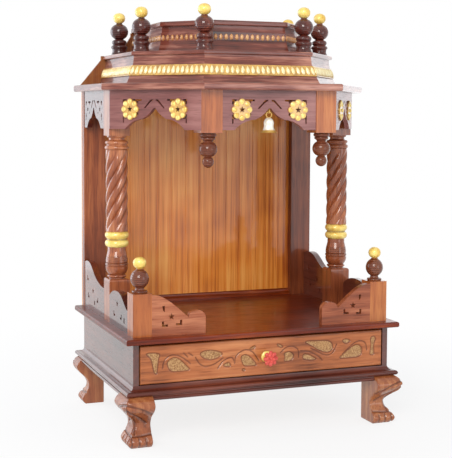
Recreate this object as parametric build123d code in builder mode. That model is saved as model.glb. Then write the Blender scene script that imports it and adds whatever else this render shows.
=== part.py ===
from build123d import *
import os
from math import cos, hypot, pi, radians, sin, sqrt

# A home temple in polished hardwood: a drawer base on bandsawn legs, a shrine platform with
# fretted rails, two rope-twist columns and a half-hexagon roof in two coved tiers with finials.
# Millimetres. +X is right, -Y is the front, +Z is up. The origin is on the floor, under the
# centre of the roof.

os.makedirs("parts", exist_ok=True)

# Heights
leg_height = 126.0
case_height = 86.0
platform_thickness = 12.0
opening_height = 501.0
canopy_thickness = 15.0
cove_height = 60.0
upper_board_thickness = 9.5
upper_cove_height = 55.0
top_board_thickness = 11.0

# Depths, from the front edge of the canopy board to its back edge
case_setback = 41.0
post_setback = 4.5
column_setback = 181.0
side_bay = 174.5
case_back_setback = 13.0
panel_thickness = 6.0

# Widths
case_width = 580.0
rail_inset = 1.0
platform_overhang = 19.0

# Base
case_side_thickness = 12.0
case_back_thickness = 8.0
case_floor_thickness = 8.0
moulding_height = 19.0
apron_height = 10.0
moulding_thickness = 16.0
moulding_flare = 17.0
leg_width = 38.0
front_leg_depth = 48.0
rear_leg_depth = 38.0

# Drawer
drawer_gap = 2.5
drawer_lift = 1.5
drawer_headroom = 5.5
drawer_front_thickness = 20.0
drawer_front_proud = 2.0
drawer_back_room = 35.0
drawer_wall = 9.0
drawer_wall_height = 56.0
drawer_side_room = 5.0
drawer_bottom_thickness = 5.0
drawer_bottom_rise = 6.0
runner_gap = 0.3
knob_length = 30.0
knob_radius = 17.0
knob_face_thickness = 9.0

# Rails and posts
post_width = 40.0
post_height = 88.0
rail_thickness = 14.0
front_rail_length = 116.0
front_rail_height = 84.0
front_rail_valley = 35.5
front_rail_lobe = 47.5
front_rail_lobe_width = 37.0
side_rail_valley = 48.0
side_rail_peak = 77.0
side_rail_rear_peak = 110.0
side_rail_rear_low = 68.0
star_radius = 7.5
star_waist = 0.42
piercing_width = 4.5
piercing_arm = 11.0

# Columns and pendants
block_width = 46.0
column_block_height = 93.0
vase_height = 69.0
ring_height = 34.0
collar_height = 31.0
column_head_height = 97.0
twist_strands = 6
twist_turn = 330.0
twist_sections = 12
strand_radius = 24.0
groove_radius = 19.0
pendant_inset = 25.7
pendant_setback = 25.5
pendant_block_height = 88.0

# Fretwork
valance_height = 82.0
valance_thickness = 12.0
valance_inset = 20.0
arch_height = 45.0
arch_half_span = 78.0
arch_point_half = 2.5
side_valance_foot = 27.0
rosette_offset = 63.0
rosette_height = 42.0
rosette_radius = 22.5
rosette_relief = 3.0
fret_square = 42.0
fret_slot = 3.5

# Back
stile_width = 51.0
stile_thickness = 18.0
groove_pitch = 35.0
groove_width = 3.0
groove_depth = 1.5
foot_moulding_height = 14.0
foot_moulding_depth = 12.0

# Roof, whose boards and coves each have a half hexagon for a plan
canopy_overhang = 19.5
canopy_front_half = 154.0
cornice_wall = 12.0
board_round = 4.0
band_rise = 17.5
band_height = 22.0
band_proud = 5.0
upper_band_rise = 24.0
upper_band_height = 17.0
upper_band_proud = 3.0
back_step_drop = 8.0
back_step_overhang = 4.0
back_shoulder_overhang = 5.0
upper_step_overhang = 26.0
upper_shoulder_overhang = 1.0

# Finials, one at each corner of the upper board
finial_inset = 26.0
rear_finial_inset = 47.0

# Bell
bell_height = 31.0
bell_rim_radius = 18.0
bell_wall = 1.6
bell_ring_radius = 6.0
ring_wire = 1.4
eye_radius = 4.0
eye_wire = 1.2
eye_drop = 6.0
link_gap = 0.3
clapper_radius = 3.5
clapper_wire = 1.0
clapper_lift = 1.0

# Places worked out from the sizes above
canopy_depth = (case_setback + post_setback + column_setback + block_width + side_bay
                + stile_thickness)
case_depth = canopy_depth - case_setback - case_back_setback
overall_depth = canopy_depth + panel_thickness
roof_front_y = -overall_depth / 2
back_y = overall_depth / 2
canopy_back_y = back_y - panel_thickness
case_half = case_width / 2
case_front_y = roof_front_y + case_setback
case_back_y = case_front_y + case_depth
platform_z = leg_height + case_height
platform_top = platform_z + platform_thickness
canopy_z = platform_top + opening_height
canopy_top = canopy_z + canopy_thickness
upper_board_z = canopy_top + cove_height
upper_board_top = upper_board_z + upper_board_thickness
top_board_z = upper_board_top + upper_cove_height
top_board_top = top_board_z + top_board_thickness
rail_x = case_half - rail_inset
post_front_y = case_front_y + post_setback
stile_front_y = canopy_back_y - stile_thickness
column_x = rail_x - block_width / 2
column_y = post_front_y + column_setback + block_width / 2
column_front_y = column_y - block_width / 2
column_back_y = column_y + block_width / 2
pendant_x = canopy_front_half - pendant_inset
pendant_y = roof_front_y + pendant_setback + block_width / 2
sides = (("left", -1), ("right", 1))


def roof_plan(side_inset, corner, front_inset, setback):
    """A half hexagon inside the canopy's: half width, depth of its side corner behind the
    canopy's front edge, half width of its front edge and setback of its front edge."""
    return (case_half + canopy_overhang - side_inset, corner,
            canopy_front_half - front_inset, setback)


canopy_plan = roof_plan(0, 212.5, 0, 0)
cove_foot_plan = roof_plan(59, 226, 21, 66.5)
cove_head_plan = roof_plan(76.5, 230.5, 32.5, 90)
upper_board_plan = roof_plan(70.5, 227.5, 30.5, 86)
upper_foot_plan = roof_plan(134.5, 239, 63, 138)
upper_head_plan = roof_plan(144.5, 244, 70.5, 144)
top_board_plan = roof_plan(138.5, 239, 67, 137)


def save(piece, name):
    piece.part.label = name
    export_step(piece.part, f"parts/{name}.step")


def board(low, high, mode=Mode.ADD):
    """A plain board between two corners, for use inside a part."""
    size = [abs(b - a) for a, b in zip(low, high)]
    middle = [(a + b) / 2 for a, b in zip(low, high)]
    with Locations(tuple(middle)):
        Box(*size, mode=mode)


def front_plane(x, y, z):
    """A plane seen from the front: its x runs right and its y runs up."""
    return Plane(origin=(x, y, z), x_dir=(1, 0, 0), z_dir=(0, -1, 0))


def outline(start, steps):
    """A chain of lines and arcs: two numbers end a line, four give an arc's middle and end."""
    last = start
    for step in steps:
        if step == last:
            continue
        if len(step) == 2:
            Line(last, step)
        else:
            ThreePointArc(last, step[:2], step[2:])
        last = step[-2:]


def turning(x, y, z, start, steps):
    """Revolves a profile of (radius, height) steps about the upright axis at x, y."""
    with BuildSketch(front_plane(x, y, z)) as half:
        with BuildLine():
            closing = [] if steps[-1][-2:] == start else [(0, steps[-1][-1]), (0, start[1]), start]
            outline(start, steps + closing)
        make_face()
    revolve(half.sketch, axis=Axis((x, y, z), (0, 0, 1)))


def cut(*points):
    """A hole with straight sides, for use inside a sketch."""
    Polygon(*points, align=None, mode=Mode.SUBTRACT)


def star(x, y, radius):
    """A five-point star cut through a board."""
    tips = []
    for turn in range(10):
        reach = radius if turn % 2 == 0 else radius * star_waist
        angle = radians(90 + 36 * turn)
        tips.append((x + reach * cos(angle), y + reach * sin(angle)))
    cut(*tips)


def corner_hole(x, y, arm_x, arm_y, width=piercing_width):
    """An L cut through a board: its corner at x, y and its arms as long as given, with sign."""
    step_x = width if arm_x > 0 else -width
    step_y = width if arm_y > 0 else -width
    cut((x, y), (x + arm_x, y), (x + arm_x, y + step_y), (x + step_x, y + step_y),
        (x + step_x, y + arm_y), (x, y + arm_y))


def half_hexagon(plan, inset=0.0):
    """Corner points of a roof plan, from the back left round the front to the back right."""
    half, corner, front_half, front = plan
    side_y = roof_front_y + corner
    front_y = roof_front_y + front + inset
    run = (half - front_half, corner - front)
    slope = hypot(*run)
    side_shift = inset * (slope - run[0]) / run[1]
    front_shift = inset * (slope - run[1]) / run[0]
    side_point = (half - inset, side_y + side_shift)
    front_point = (front_half - front_shift, front_y)
    right = [front_point, side_point, (half - inset, canopy_back_y)]
    left = [(-px, py) for px, py in reversed(right)]
    return left + right


def plan_slab(plan, z, height, inset=0.0, mode=Mode.ADD):
    with BuildSketch(Plane.XY.offset(z)) as slab:
        with BuildLine():
            Polyline(*half_hexagon(plan, inset), close=True)
        make_face()
    extrude(slab.sketch, amount=height, mode=mode)


# Base moulding: a cove and a bead that run right round the case and over the legs, with an
# ogee apron under them between the legs. Points are outward from the case, and up.
moulding_z = leg_height - moulding_height
apron_z = moulding_z - apron_height
leg_inner_x = case_half - leg_width
front_inner_y = case_front_y + front_leg_depth
rear_inner_y = case_back_y - rear_leg_depth
bead_top = moulding_z + 0.5 * moulding_height
apron_flare = 0.85 * moulding_flare
moulding_profile = [
    (apron_flare - 2, apron_z),
    (apron_flare + 1, apron_z + 0.3 * apron_height, apron_flare - 2, apron_z + 0.7 * apron_height),
    (apron_flare - 3, moulding_z), (moulding_flare - 2, moulding_z),
    (moulding_flare + 1, (moulding_z + bead_top) / 2, moulding_flare - 3, bead_top),
    (moulding_flare - 5, bead_top), (2, bead_top + 0.22 * moulding_height, 0, leg_height),
    (-moulding_thickness, leg_height), (-moulding_thickness, apron_z)]


def moulding(plane, length):
    """One side of the moulding: mitred at the case's corners and let in over the legs."""
    with BuildPart() as piece:
        with BuildSketch(plane):
            with BuildLine():
                outline(moulding_profile[-1], moulding_profile)
            make_face()
        extrude(amount=length / 2 + 2 * moulding_flare, both=True)
        for way in (-1, 1):
            corner = plane.from_local_coords((0, 0, way * length / 2))
            split(bisect_by=Plane(origin=corner, z_dir=plane.z_dir * way - plane.x_dir),
                  keep=Keep.BOTTOM)
        for sign in (-1, 1):
            for inner_y, facing in ((front_inner_y, -1), (rear_inner_y, 1)):
                board((sign * leg_inner_x, inner_y, apron_z),
                      (sign * 2 * case_half, inner_y + facing * case_depth / 2, moulding_z),
                      mode=Mode.SUBTRACT)
    return piece


case_middle_y = (case_front_y + case_back_y) / 2
save(moulding(Plane(origin=(0, case_front_y, 0), x_dir=(0, -1, 0), z_dir=(-1, 0, 0)), case_width),
     "skirt_front")
save(moulding(Plane(origin=(0, case_back_y, 0), x_dir=(0, 1, 0), z_dir=(1, 0, 0)), case_width),
     "skirt_rear")
for side, sign in sides:
    save(moulding(Plane(origin=(sign * case_half, case_middle_y, 0), x_dir=(sign, 0, 0),
                        z_dir=(0, -sign, 0)), case_depth), f"skirt_{side}")

# Legs: a block sawn to the same bow on its two outer faces, the inner two left flat. The bow is
# given as shares of the leg's height and of its width. A square tenon stands behind the moulding.
leg_bow = ((0.0, 1.16), (0.11, 1.34), (0.39, 0.87), (0.79, 1.68), (1.0, 1.24))


def leg_profile(plane, width):
    """The sawn outline in one face, from the inner face outwards."""
    with BuildSketch(plane) as face:
        with BuildLine():
            Line((0, 0), (width * leg_bow[0][1], 0))
            Spline(*[(width * reach, moulding_z * height) for height, reach in leg_bow])
            Line((width * leg_bow[-1][1], moulding_z), (0, moulding_z))
            Line((0, moulding_z), (0, 0))
        make_face()
    return face.sketch


front_bow_share = 0.99
rear_bow_share = 0.87
leg_spots = (("front", front_inner_y, -1, front_leg_depth * front_bow_share, front_leg_depth),
             ("rear", rear_inner_y, 1, rear_leg_depth * rear_bow_share, rear_leg_depth))
for side, sign in sides:
    for place, inner_y, facing, depth, tenon_depth in leg_spots:
        with BuildPart() as leg:
            corner = (sign * leg_inner_x, inner_y, 0)
            front_cut = Plane(origin=corner, x_dir=(sign, 0, 0), z_dir=(0, -sign, 0))
            side_cut = Plane(origin=corner, x_dir=(0, facing, 0), z_dir=(facing, 0, 0))
            extrude(leg_profile(front_cut, leg_width), amount=case_half, both=True)
            extrude(leg_profile(side_cut, depth), amount=case_half, both=True,
                    mode=Mode.INTERSECT)
            board((corner[0], inner_y, moulding_z),
                  (sign * (case_half - moulding_thickness),
                   inner_y + facing * (tenon_depth - moulding_thickness), leg_height))
        save(leg, f"leg_{place}_{side}")

# Case
case_inner = case_half - case_side_thickness
case_floor_top = leg_height + case_floor_thickness
drawer_front_back_y = case_front_y - drawer_front_proud + drawer_front_thickness
case_floor_front_y = drawer_front_back_y + drawer_gap
case_back_front_y = case_back_y - case_back_thickness
for side, sign in sides:
    inner, outer = sorted((sign * case_inner, sign * case_half))
    with BuildPart() as case_side:
        board((inner, case_front_y, leg_height), (outer, case_back_y, platform_z))
    save(case_side, f"case_side_{side}")
with BuildPart() as case_back:
    board((-case_inner, case_back_front_y, leg_height), (case_inner, case_back_y, platform_z))
save(case_back, "case_back")
with BuildPart() as case_floor:
    board((-case_inner, case_floor_front_y, leg_height),
          (case_inner, case_back_front_y, case_floor_top))
save(case_floor, "case_floor")

# Platform board
platform_half = case_half + platform_overhang
with BuildPart() as platform:
    board((-platform_half, case_front_y - platform_overhang, platform_z),
          (platform_half, canopy_back_y, platform_top))
    rim = platform.edges().filter_by(Axis.X).group_by(Axis.Y)[0]
    rim += platform.edges().filter_by(Axis.Y)
    fillet(rim, board_round)
save(platform, "platform_board")

# Drawer
drawer_front_half = case_inner - drawer_gap
drawer_front_z = leg_height + drawer_lift
drawer_front_top = platform_z - drawer_headroom
drawer_box_half = drawer_front_half - drawer_side_room
drawer_box_z = case_floor_top + runner_gap
drawer_box_back_y = case_back_front_y - drawer_back_room
with BuildPart() as drawer_front:
    board((-drawer_front_half, case_front_y - drawer_front_proud, drawer_front_z),
          (drawer_front_half, drawer_front_back_y, drawer_front_top))
    fillet(drawer_front.faces().sort_by(Axis.Y)[0].edges(), 3.5)
save(drawer_front, "drawer_front")
for side, sign in sides:
    inner, outer = sorted((sign * (drawer_box_half - drawer_wall), sign * drawer_box_half))
    with BuildPart() as drawer_side:
        board((inner, drawer_front_back_y, drawer_box_z),
              (outer, drawer_box_back_y, drawer_box_z + drawer_wall_height))
    save(drawer_side, f"drawer_side_{side}")
drawer_inner = drawer_box_half - drawer_wall
drawer_bottom_z = drawer_box_z + drawer_bottom_rise
with BuildPart() as drawer_back:
    board((-drawer_inner, drawer_box_back_y - drawer_wall, drawer_box_z),
          (drawer_inner, drawer_box_back_y, drawer_box_z + drawer_wall_height))
save(drawer_back, "drawer_back")
with BuildPart() as drawer_bottom:
    board((-drawer_inner, drawer_front_back_y, drawer_bottom_z),
          (drawer_inner, drawer_box_back_y - drawer_wall, drawer_bottom_z + drawer_bottom_thickness))
save(drawer_bottom, "drawer_bottom")

# Knob: a turned stem and a carved flower face
knob_z = (drawer_front_z + drawer_front_top) / 2
knob_y = case_front_y - drawer_front_proud
stem_length = knob_length - knob_face_thickness
with BuildPart() as knob_stem:
    with BuildSketch(Plane(origin=(0, knob_y, knob_z), x_dir=(1, 0, 0), z_dir=(0, 0, 1))):
        with BuildLine():
            outline((0, 0), [(11, 0), (12, -3, 9, -6), (7, -stem_length * 0.55, 11, -stem_length),
                             (0, -stem_length), (0, 0)])
        make_face()
    revolve(axis=Axis((0, knob_y, knob_z), (0, 1, 0)))
save(knob_stem, "knob_stem")
with BuildPart() as knob_face:
    with BuildSketch(Plane(origin=(0, knob_y - stem_length, knob_z), x_dir=(1, 0, 0),
                           z_dir=(0, 0, 1))):
        with BuildLine():
            outline((0, 0), [
                (knob_radius * 0.7, 0),
                (knob_radius, -knob_face_thickness * 0.4,
                 knob_radius * 0.8, -knob_face_thickness * 0.8),
                (knob_radius * 0.5, -knob_face_thickness), (0, -knob_face_thickness), (0, 0)])
        make_face()
    revolve(axis=Axis((0, knob_y, knob_z), (0, 1, 0)))
save(knob_face, "knob_face")

# Front posts with turned finials
for side, sign in sides:
    x = sign * (rail_x - post_width / 2)
    y = post_front_y + post_width / 2
    half = post_width / 2
    with BuildPart() as post:
        board((x - half, post_front_y, platform_top),
              (x + half, post_front_y + post_width, platform_top + post_height))
        turning(x, y, platform_top + post_height, (14, 0), [
            (16, 3, 13, 6), (9, 8, 9, 11), (19, 30, 9, 47), (6, 50), (13.5, 61, 5, 73), (0, 74)])
    save(post, f"front_post_{side}")

# Front rails: from each post, an S-curve down to a thumb at the end
valley_x = front_rail_length - front_rail_lobe_width
fall = front_rail_height - front_rail_valley
for side, sign in sides:
    start_x = sign * (rail_x - post_width)
    with BuildPart() as front_rail:
        with BuildSketch(Plane(origin=(start_x, post_front_y, platform_top), x_dir=(-sign, 0, 0),
                               z_dir=(0, sign, 0))):
            with BuildLine():
                Line((0, 0), (0, front_rail_height))
                Spline((0, front_rail_height), (0.18 * valley_x, front_rail_height - 0.03 * fall),
                       (0.44 * valley_x, front_rail_height - 0.24 * fall),
                       (0.72 * valley_x, front_rail_height - 0.60 * fall),
                       (valley_x, front_rail_valley))
                ThreePointArc((valley_x, front_rail_valley),
                              (valley_x + 0.12 * front_rail_lobe_width, front_rail_lobe - 3),
                              (valley_x + 0.38 * front_rail_lobe_width, front_rail_lobe))
                ThreePointArc((valley_x + 0.38 * front_rail_lobe_width, front_rail_lobe),
                              (front_rail_length - 5, front_rail_lobe - 3.5),
                              (front_rail_length, front_rail_lobe - 13))
                Line((front_rail_length, front_rail_lobe - 13), (front_rail_length, 0))
                Line((front_rail_length, 0), (0, 0))
            make_face()
            star(0.53 * valley_x, 0.46 * front_rail_height, star_radius)
            cut((0.28 * valley_x, 0.73 * front_rail_height), (0.35 * valley_x, 0.73 * front_rail_height),
                (0.35 * valley_x, 0.58 * front_rail_height), (0.30 * valley_x, 0.62 * front_rail_height))
            corner_hole(0.27 * valley_x, 0.22 * front_rail_height, piercing_arm + 2, piercing_arm)
            corner_hole(0.82 * valley_x, 0.24 * front_rail_height, -piercing_arm - 2, piercing_arm)
        extrude(amount=sign * rail_thickness)
    save(front_rail, f"front_rail_{side}")

# Side rails: a wave between post and column, and a swept rail behind the column
post_back_y = post_front_y + post_width
for side, sign in sides:
    outer = sign * rail_x
    with BuildPart() as side_rail:
        length = column_front_y - post_back_y
        with BuildSketch(Plane(origin=(outer, column_front_y, platform_top), x_dir=(0, -1, 0),
                               z_dir=(-1, 0, 0))):
            with BuildLine():
                low = side_rail_valley + 0.38 * (side_rail_peak - side_rail_valley)
                rise = side_rail_peak - side_rail_valley
                Line((0, 0), (0, low))
                Spline((0, low), (0.18 * length, side_rail_peak - 0.16 * rise),
                       (0.42 * length, side_rail_peak), (0.62 * length, side_rail_peak - 0.12 * rise),
                       (0.84 * length, side_rail_valley + 0.30 * rise), (length, side_rail_valley))
                Line((length, side_rail_valley), (length, 0))
                Line((length, 0), (0, 0))
            make_face()
            star(0.44 * length, 0.66 * side_rail_peak, star_radius)
            corner_hole(0.24 * length, 0.28 * side_rail_peak, piercing_arm, piercing_arm)
            corner_hole(0.68 * length, 0.28 * side_rail_peak, -piercing_arm, piercing_arm)
            cut((0.80 * length, 0.38 * side_rail_peak), (0.84 * length, 0.38 * side_rail_peak),
                (0.84 * length, 0.22 * side_rail_peak), (0.79 * length, 0.24 * side_rail_peak))
        extrude(amount=sign * rail_thickness)
    save(side_rail, f"side_rail_front_{side}")
    with BuildPart() as side_rail:
        length = stile_front_y - column_back_y
        with BuildSketch(Plane(origin=(outer, column_back_y, platform_top), x_dir=(0, 1, 0),
                               z_dir=(1, 0, 0))):
            with BuildLine():
                high, low = side_rail_rear_peak, side_rail_rear_low
                Line((0, 0), (0, low))
                Spline((0, low), (0.20 * length, low + 0.06 * (high - low)),
                       (0.48 * length, low + 0.42 * (high - low)),
                       (0.72 * length, high - 0.06 * (high - low)),
                       (0.88 * length, high), (length, high - 0.12 * (high - low)))
                Line((length, high - 0.12 * (high - low)), (length, 0))
                Line((length, 0), (0, 0))
            make_face()
            star(0.56 * length, 0.43 * high, star_radius)
            corner_hole(0.30 * length, 0.24 * high, piercing_arm, piercing_arm)
            corner_hole(0.82 * length, 0.24 * high, -piercing_arm, piercing_arm)
            corner_hole(0.86 * length, 0.60 * high, -piercing_arm, piercing_arm)
            cut((0.46 * length, 0.24 * high), (0.50 * length, 0.24 * high),
                (0.50 * length, 0.16 * high), (0.46 * length, 0.16 * high))
        extrude(amount=-sign * rail_thickness)
    save(side_rail, f"side_rail_rear_{side}")

# Columns: a square foot, a turned vase and rings, a rope twist, a collar and a square head
ring_z = column_block_height + vase_height
twist_z = ring_z + ring_height
head_z = opening_height - column_head_height
collar_z = head_z - collar_height


def strand_section(z, x, y, turn, depth):
    """The rope's section at one height: one arc a strand, meeting in the grooves."""
    valley = strand_radius - depth * (strand_radius - groove_radius)
    step = 360 / twist_strands
    with BuildSketch(Plane(origin=(x, y, z), z_dir=(0, 0, 1))) as section:
        with BuildLine():
            for strand in range(twist_strands):
                start, middle, end = [radians(turn + step * (strand + part)) for part in (0, 0.5, 1)]
                ThreePointArc((valley * cos(start), valley * sin(start)),
                              (strand_radius * cos(middle), strand_radius * sin(middle)),
                              (valley * cos(end), valley * sin(end)))
        make_face()
    return section.sketch


def column(x, y, z):
    half = block_width / 2
    with BuildPart() as whole:
        board((x - half, y - half, z), (x + half, y + half, z + column_block_height))
        fillet(whole.faces().sort_by(Axis.Z)[-1].edges(), 5)
        turning(x, y, z + column_block_height, (17, -2), [
            (17, 3), (21, 5, 17, 8), (23, 17, 24.6, 26), (23.2, 27.5), (24.8, 29),
            (25, 31, 24.8, 33), (23.2, 34.5), (24.2, 36), (23.6, 45, 22, 52), (20, 60),
            (20, vase_height)])
        turning(x, y, z + ring_z, (21, 0), [
            (26, 8, 21.5, 16), (21.5, 18), (26, 26, 21, ring_height)])
        sections = []
        for level in range(twist_sections + 1):
            share = level / twist_sections
            fade = min(1.0, 4 * share + 0.25, 4 * (1 - share) + 0.25)
            height = z + twist_z + share * (collar_z - twist_z)
            sections.append(strand_section(height, x, y, share * twist_turn, fade))
        loft(sections)
        turning(x, y, z + collar_z, (21, 0), [
            (26, 5, 22, 10), (22, 12), (25, 16, 20, 20), (17, 22), (17, 26),
            (21, 28, 21, collar_height + 1)])
        board((x - half, y - half, z + head_z), (x + half, y + half, z + opening_height))
    return whole


for side, sign in sides:
    save(column(sign * column_x, column_y, platform_top), f"column_{side}")

# Pendants: square blocks under the canopy's front corners with turned drops
pendant_z = canopy_z - pendant_block_height
for side, sign in sides:
    x = sign * pendant_x
    half = block_width / 2
    with BuildPart() as pendant:
        board((x - half, pendant_y - half, pendant_z), (x + half, pendant_y + half, canopy_z))
        turning(x, pendant_y, pendant_z, (12, 0), [
            (17, -4, 11, -8), (15, -11, 12, -14), (9, -18), (19, -34, 7, -49),
            (12, -60, 3, -71), (0, -71.5)])
    save(pendant, f"pendant_{side}")


# Fretted valances
def arch(half_span):
    """The lower edge from the left foot to the right foot: a lobe, a cusp and a point."""
    lobe = (0.77 * half_span, 0.32 * arch_height)
    cusp = (0.42 * half_span, 0.48 * arch_height)
    flank = (0.20 * half_span, 0.70 * arch_height)
    for sign in (-1, 1):
        ThreePointArc((sign * half_span, 0), (sign * lobe[0], lobe[1]), (sign * cusp[0], cusp[1]))
        ThreePointArc((sign * cusp[0], cusp[1]), (sign * flank[0], flank[1]),
                      (sign * arch_point_half, arch_height))
    Line((-arch_point_half, arch_height), (arch_point_half, arch_height))


def fret(x, outward, share):
    """The piercings round one flower, drawn in to a share of their full size. outward is 1
    where the board's end is to the right."""
    half = share * fret_square / 2
    outer, inner = x + outward * half, x - outward * half
    top, foot = rosette_height + half, rosette_height - half
    corner_hole(outer, top, -outward * 0.5 * half, -0.5 * half)
    corner_hole(inner - outward * 0.4 * half, top, outward * 1.15 * half, -fret_slot - 0.1, fret_slot)
    cut((inner, top - fret_slot), (inner + outward * 0.25 * half, top - fret_slot),
        (inner + outward * 0.25 * half, top - 0.42 * half), (inner, top - 0.34 * half))
    corner_hole(outer, foot - 0.35 * half, -outward * fret_slot, 0.85 * half, fret_slot - 0.1)
    cut((outer - outward * 0.15 * half, foot + 0.12 * half),
        (outer - outward * 0.48 * half, foot + 0.05 * half),
        (outer - outward * 0.15 * half, foot + 0.45 * half))
    with Locations((inner + outward * 0.12 * half, rosette_height - 0.45 * half)):
        Circle(0.13 * half, mode=Mode.SUBTRACT)


def valance_face(plane, half_length, half_span):
    """The board with its arch, the hole behind each flower and the piercings round them."""
    offset = min(rosette_offset, 0.62 * half_length)
    share = offset / rosette_offset
    with BuildSketch(plane) as face:
        with BuildLine():
            arch(half_span)
            Polyline((half_span, 0), (half_length, 0), (half_length, valance_height),
                     (-half_length, valance_height), (-half_length, 0), (-half_span, 0))
        make_face()
        for sign in (-1, 1):
            reach = sign * share * rosette_offset
            star(sign * offset, rosette_height, share * star_radius)
            fret(sign * offset, sign, share)
            cut((0.43 * reach, arch_height), (0.38 * reach, 0.97 * arch_height),
                (0.14 * reach, 1.29 * arch_height), (0.06 * reach, 1.33 * arch_height),
                (0.06 * reach, 1.40 * arch_height), (0.17 * reach, 1.38 * arch_height))
    return face.sketch


def rosette(plane):
    """An eight-petal flower carved in relief round a star-shaped hole."""
    petals = 8
    with BuildSketch(plane) as flower:
        with PolarLocations(rosette_radius * 0.68, petals):
            Circle(rosette_radius * 0.32)
        Circle(rosette_radius * 0.70)
        star(0, 0, star_radius)
    extrude(flower.sketch, amount=rosette_relief)


front_face_y = roof_front_y + pendant_setback + 2
front_half = pendant_x - block_width / 2
valance_z = canopy_z - valance_height
with BuildPart() as valance_front:
    face = valance_face(front_plane(0, front_face_y, valance_z), front_half, arch_half_span)
    extrude(face, amount=-valance_thickness)
save(valance_front, "valance_front")


def point_on(line_start, line_way, x=None, y=None):
    """Where a plan line reaches an x or a y."""
    if x is not None:
        travel = (x - line_start[0]) / line_way[0]
    else:
        travel = (y - line_start[1]) / line_way[1]
    return (line_start[0] + travel * line_way[0], line_start[1] + travel * line_way[1])


side_corner = half_hexagon(canopy_plan, valance_inset)[4]
front_corner = half_hexagon(canopy_plan, valance_inset)[3]
chamfer_run = (side_corner[0] - front_corner[0], side_corner[1] - front_corner[1])
inner_line = half_hexagon(canopy_plan, valance_inset + valance_thickness)[3]
outer_end = point_on(front_corner, chamfer_run, x=rail_x)
outer_start = point_on(front_corner, chamfer_run, x=pendant_x + block_width / 2)
inner_start = point_on(inner_line, chamfer_run, x=pendant_x + block_width / 2)
inner_end = point_on(inner_line, chamfer_run, y=column_front_y)
chamfer_length = hypot(outer_end[0] - outer_start[0], outer_end[1] - outer_start[1])
chamfer_way = ((outer_end[0] - outer_start[0]) / chamfer_length,
               (outer_end[1] - outer_start[1]) / chamfer_length)
chamfer_middle = ((outer_end[0] + outer_start[0]) / 2, (outer_end[1] + outer_start[1]) / 2)


def chamfer_plane(sign):
    """The outer face of the slanted valance, seen from outside."""
    return Plane(origin=(sign * chamfer_middle[0], chamfer_middle[1], valance_z),
                 x_dir=(chamfer_way[0], sign * chamfer_way[1], 0),
                 z_dir=(sign * chamfer_way[1], -chamfer_way[0], 0))


for side, sign in sides:
    with BuildPart() as chamfer_valance:
        face = valance_face(chamfer_plane(sign), chamfer_length / 2 + 2 * valance_thickness,
                            arch_half_span)
        extrude(face, amount=-valance_thickness)
        with BuildSketch(Plane.XY.offset(valance_z)):
            with BuildLine():
                Polyline(*[(sign * px, py) for px, py in (
                    outer_start, outer_end, (rail_x, column_front_y), inner_end, inner_start)],
                    close=True)
            make_face()
        extrude(amount=valance_height, mode=Mode.INTERSECT)
    save(chamfer_valance, f"valance_front_{side}")

side_valance_half = (stile_front_y - column_back_y) / 2
side_valance_y = (stile_front_y + column_back_y) / 2
for side, sign in sides:
    with BuildPart() as side_valance:
        outer_face = Plane(origin=(sign * rail_x, side_valance_y, valance_z),
                           x_dir=(0, sign, 0), z_dir=(sign, 0, 0))
        face = valance_face(outer_face, side_valance_half, side_valance_half - side_valance_foot)
        extrude(face, amount=-valance_thickness)
    save(side_valance, f"valance_side_{side}")

with BuildPart() as rosettes:
    planes = [front_plane(0, front_face_y, valance_z), chamfer_plane(-1), chamfer_plane(1)]
    for plane in planes:
        for sign in (-1, 1):
            middle = plane.from_local_coords((sign * rosette_offset, rosette_height, 0))
            rosette(Plane(origin=middle, x_dir=plane.x_dir, z_dir=plane.z_dir))
save(rosettes, "rosettes")

# Back: two stiles, a grooved panel that rises behind the roof, and a foot moulding
for side, sign in sides:
    inner, outer = sorted((sign * (case_half - stile_width), sign * case_half))
    with BuildPart() as stile:
        board((inner, stile_front_y, platform_top), (outer, canopy_back_y, canopy_z))
    save(stile, f"back_stile_{side}")
stile_inner = case_half - stile_width
with BuildPart() as foot_moulding:
    with BuildSketch(Plane(origin=(0, canopy_back_y, platform_top), x_dir=(0, -1, 0),
                           z_dir=(-1, 0, 0))):
        with BuildLine():
            outline((0, 0), [(foot_moulding_depth, 0), (foot_moulding_depth, 5),
                             (5, 7, 3, foot_moulding_height), (0, foot_moulding_height), (0, 0)])
        make_face()
    extrude(amount=stile_inner, both=True)
save(foot_moulding, "back_foot_moulding")
with BuildPart() as back_panel:
    step_half = case_half + back_step_overhang
    shoulder_half = upper_board_plan[0] + back_shoulder_overhang
    upper_step_half = upper_foot_plan[0] + upper_step_overhang
    upper_shoulder_half = top_board_plan[0] + upper_shoulder_overhang
    right = [(case_half, platform_z), (case_half, canopy_z), (step_half, canopy_z),
             (step_half, canopy_top), (shoulder_half, upper_board_z),
             (shoulder_half, upper_board_top), (upper_step_half, upper_board_top),
             (upper_shoulder_half, top_board_z - back_step_drop),
             (upper_shoulder_half, top_board_z)]
    with BuildSketch(front_plane(0, back_y, 0)):
        with BuildLine():
            Polyline(*right, *[(-px, pz) for px, pz in reversed(right)], close=True)
        make_face()
    extrude(amount=panel_thickness)
    groove_count = int(2 * stile_inner / groove_pitch)
    with BuildSketch(front_plane(0, canopy_back_y, (platform_top + canopy_z) / 2)):
        with GridLocations(groove_pitch, 1, groove_count, 1):
            Rectangle(groove_width, opening_height)
    extrude(amount=-groove_depth, mode=Mode.SUBTRACT)
save(back_panel, "back_panel")

# Roof
with BuildPart() as canopy_board:
    plan_slab(canopy_plan, canopy_z, canopy_thickness)
    rim = canopy_board.faces().filter_by(Axis.Z).edges()
    fillet([edge for edge in rim if edge.center().Y < canopy_back_y - 1], board_round)
save(canopy_board, "canopy_board")


def blend_plan(foot, head, share):
    return tuple(a + (b - a) * share for a, b in zip(foot, head))


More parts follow.
